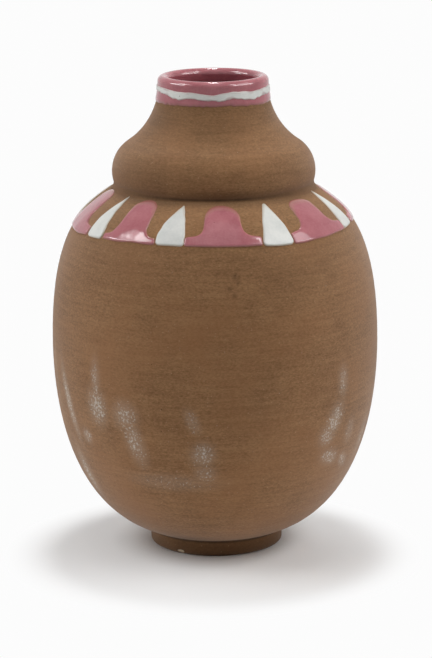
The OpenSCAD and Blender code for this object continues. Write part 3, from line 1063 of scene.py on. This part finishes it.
def tooth_edges(up, tooth):
    """Left and right edge of a tooth at heights up the slope."""
    share = up / tooth.height
    swell = 4 * share * (1 - share)
    drawn_in = rounding(up, TOOTH_CORNER) + rounding(tooth.height - up, tooth.tip_half)
    tip_left = tooth.tip - tooth.tip_half
    tip_right = tooth.tip + tooth.tip_half
    left = tooth.left + (tip_left - tooth.left) * share - tooth.swell_left * swell + drawn_in
    right = tooth.right + (tip_right - tooth.right) * share + tooth.swell_right * swell - drawn_in
    return np.minimum(left, tooth.tip - TIP_HALF), np.maximum(right, tooth.tip + TIP_HALF)


def tongue_edges(up, tongue):
    """Left and right edge of a tongue at heights up the slope."""
    share = np.clip((up - tongue.foot_height) / SPREAD_REACH, 0, 1)
    flare = (1 - np.sqrt(share)) ** 2
    drawn_in = rounding(up, FOOT_CORNER) + rounding(tongue.foot_height - up, FOOT_CORNER)
    near_top = np.clip(1 - (tongue.height - up) / tongue.cap, 0, 1)
    narrow = np.sqrt(1 - near_top ** 2)
    thin = 1 - tongue.taper * np.clip(up / tongue.height, 0, 1)
    sides = ((-1, tongue.foot_left, tongue.stem_left), (1, tongue.foot_right, tongue.stem_right))
    edges = []
    for side, foot, stem in sides:
        stem_edge = stem * thin * narrow + (tongue.top + side * TIP_HALF) * (1 - narrow)
        edges.append(stem_edge + (foot - side * drawn_in - stem_edge) * flare)
    return edges


def outline_distance(across, up):
    """Distance of each point of a grid to the grid's own outline."""
    start = np.stack([border(across), border(up)], 1)
    side = np.roll(start, -1, 0) - start
    points = np.stack([across.ravel(), up.ravel()], 1)[:, None]
    squared = np.maximum((side ** 2).sum(1), LEAST_SQUARE)
    share = np.clip(((points - start) * side).sum(2) / squared, 0, 1)
    return np.linalg.norm(points - start - share[..., None] * side, axis=2).min(1).reshape(across.shape)


def hang(angle):
    """How far the band's foot hangs at angles in radians, in millimetres."""
    return knotted(bearings(angle).ravel(), HANG_KNOTS).reshape(angle.shape)


def make_field(name, node, shape, edges, slot, thin_reach, seed):
    """A raised glaze field on the shoulder, thin towards its top and pooled at its foot."""
    up = shape.height * bunched(FIELD_ROWS)[:, None]
    left, right = edges(up, shape)
    wobble = FIELD_WOBBLE / MM
    turn = up / shape.height * math.pi
    left = left + wobble * wander(turn, up * MM, seed, **WOBBLE_WAVE)
    right = right + wobble * wander(turn, up * MM, seed + 1, **WOBBLE_WAVE)
    across = left + (right - left) * bunched(FIELD_COLUMNS)
    sag = FOOT_SAG / MM * wander(across / SAG_SPAN, 0, seed + 2, **SAG_WAVE) * fade(up, SAG_REACH, 0)
    angle = turn_of(node) + across * MM / band_r
    up = up + sag - hang(angle) * fade(up, HANG_REACH, 0)
    edge = outline_distance(across, up) * MM
    thin = fade(up, THICK_BELOW, THIN_ABOVE)
    thickness = FOOT_THICKNESS + (TOP_THICKNESS - FOOT_THICKNESS) * thin
    width = FOOT_BEAD + (TOP_BEAD - FOOT_BEAD) * thin
    uneven = 1 + COAT_UNEVEN * wander(across / COAT_SPAN, up * MM, seed + 3, **COAT_WAVE)
    lift = thickness * bead(edge, width) * uneven
    along = band_along + up * MM
    form = closed_grid(band_skin.place(angle, along, lift), band_skin.place(angle, along, -SINK))
    piece = make_piece(name, *form, glazes[slot], slot, node)
    reach = THIN_REACH + (thin_reach - THIN_REACH) * fade(up / shape.height, THIN_FROM, THIN_BY)
    paint(piece, "edge", np.concatenate([edge / reach, edge / reach]))


make_body()
make_collar()
make_foot()
make_foot_joint()
make_collar_joint()
make_lining()
make_rim()
make_rim_line()
for i in range(repeats):
    make_field(f"tooth_{i + 1}", f"white_tooth_{i + 1}", TEETH[i], tooth_edges, "white_glaze",
               TOOTH_THIN_REACH, TOOTH_SEED + SEED_STEP * i)
    make_field(f"tongue_{i + 1}", f"pink_tongue_{i + 1}", TONGUES[i], tongue_edges, "pink_glaze",
               TONGUE_THIN_REACH, TONGUE_SEED + SEED_STEP * i)


# Studio

def plainly_seen(tree):
    """1 where a ray comes from the camera, by itself or through gloss or glass, and 0 where it lights."""
    path = add(tree, "ShaderNodeLightPath").outputs
    seen = path["Is Camera Ray"]
    for ray in ("Is Glossy Ray", "Is Transmission Ray"):
        seen = add(tree, "ShaderNodeMath", {0: seen, 1: path[ray]}, operation="MAXIMUM").outputs[0]
    return seen


def far_from(tree, where, middle):
    """Distance from a point."""
    return add(tree, "ShaderNodeVectorMath", {0: where, 1: middle}, operation="DISTANCE").outputs["Value"]


def grey(level):
    """A grey colour."""
    return (level, level, level, 1)


def floor_material():
    """Pale floor: it takes the shadow near the vase, lightened there by painted light, and goes over to
    plain white further out.
    """
    material, tree, where = new_material("floor")
    far = far_from(tree, where, SHADOW_MIDDLE)
    # Painted light: white mixed into the shadow, least round its deep part and near the foot
    lightened = spread(tree, far_from(tree, where, DEEP_MIDDLE), DEEP_FROM, DEEP_BY, 0, SHADOW_PALE)
    pale = spread(tree, far_from(tree, where, Vector()), PALE_FROM, PALE_BY, 0, lightened)
    white = spread(tree, far, WHITE_FROM, WHITE_BY, pale, interpolation_type="SMOOTHSTEP")
    tone = blend(tree, spread(tree, far, GREY_FROM, GREY_BY), grey(FLOOR_WHITE), grey(FLOOR_GREY))
    paper = add(tree, "ShaderNodeBsdfDiffuse", {"Color": tone}).outputs["BSDF"]
    plain = add(tree, "ShaderNodeEmission", {"Color": grey(BACKGROUND)}).outputs[0]
    factor = times(tree, white, plainly_seen(tree))
    mixed = add(tree, "ShaderNodeMixShader", {0: factor, 1: paper, 2: plain}).outputs[0]
    add(tree, "ShaderNodeOutputMaterial", {"Surface": mixed})
    return material


def make_floor():
    """The wide floor under the vase."""
    mesh = bpy.data.meshes.new("floor")
    corners = [(x * FLOOR_HALF, y * FLOOR_HALF, 0) for x, y in ((-1, -1), (1, -1), (1, 1), (-1, 1))]
    mesh.from_pydata(corners, [], [(0, 1, 2, 3)])
    mesh.materials.append(floor_material())
    floor = bpy.data.objects.new("floor", mesh)
    bpy.context.scene.collection.objects.link(floor)


def make_world():
    """Dim sky that grows towards the top, seen as white behind the vase."""
    world = bpy.data.worlds.new("studio")
    world.use_nodes = True
    tree = world.node_tree
    tree.nodes.clear()
    direction = add(tree, "ShaderNodeTexCoord").outputs["Generated"]
    rise = add(tree, "ShaderNodeSeparateXYZ", {"Vector": direction}).outputs["Z"]
    light = spread(tree, rise, 0, 1, 0, SKY)
    strength = add(tree, "ShaderNodeMix", {0: plainly_seen(tree), 2: light, 3: BACKGROUND}).outputs[0]
    sky = add(tree, "ShaderNodeBackground", {"Color": grey(1), "Strength": strength}).outputs[0]
    add(tree, "ShaderNodeOutputWorld", {"Surface": sky})
    bpy.context.scene.world = world


def make_lamp(name, place, size, power, mirrored, shading):
    """A soft box that looks at the vase, and that shows as gloss, as shading or as both."""
    light = bpy.data.lights.new(name, "AREA")
    light.shape = "RECTANGLE"
    light.size, light.size_y = size
    light.energy = power
    lamp = bpy.data.objects.new(name, light)
    lamp.location = place
    lamp.rotation_euler = (LAMP_AIM - Vector(place)).to_track_quat("-Z", "Y").to_euler()
    lamp.visible_camera = False
    lamp.visible_glossy = mirrored
    lamp.visible_diffuse = shading
    bpy.context.scene.collection.objects.link(lamp)


def make_camera():
    """Camera at the photograph's place, a little turned about its own axis."""
    data = bpy.data.cameras.new("camera")
    data.sensor_width = SENSOR
    data.lens = FOCAL_PIXELS * SENSOR / FRAME_HEIGHT
    camera = bpy.data.objects.new("camera", data)
    place = Vector((SIDE_STEP, -DISTANCE * math.cos(PITCH), AIM_HEIGHT + DISTANCE * math.sin(PITCH)))
    turn = Matrix.Rotation(math.pi / 2 - PITCH, 4, "X") @ Matrix.Rotation(ROLL, 4, "Z")
    camera.matrix_world = Matrix.Translation(place) @ turn
    bpy.context.scene.collection.objects.link(camera)
    bpy.context.scene.camera = camera


make_floor()
make_world()
for lamp in LAMPS:
    make_lamp(*lamp)
make_camera()

bpy.context.scene.view_settings.view_transform = "Standard"
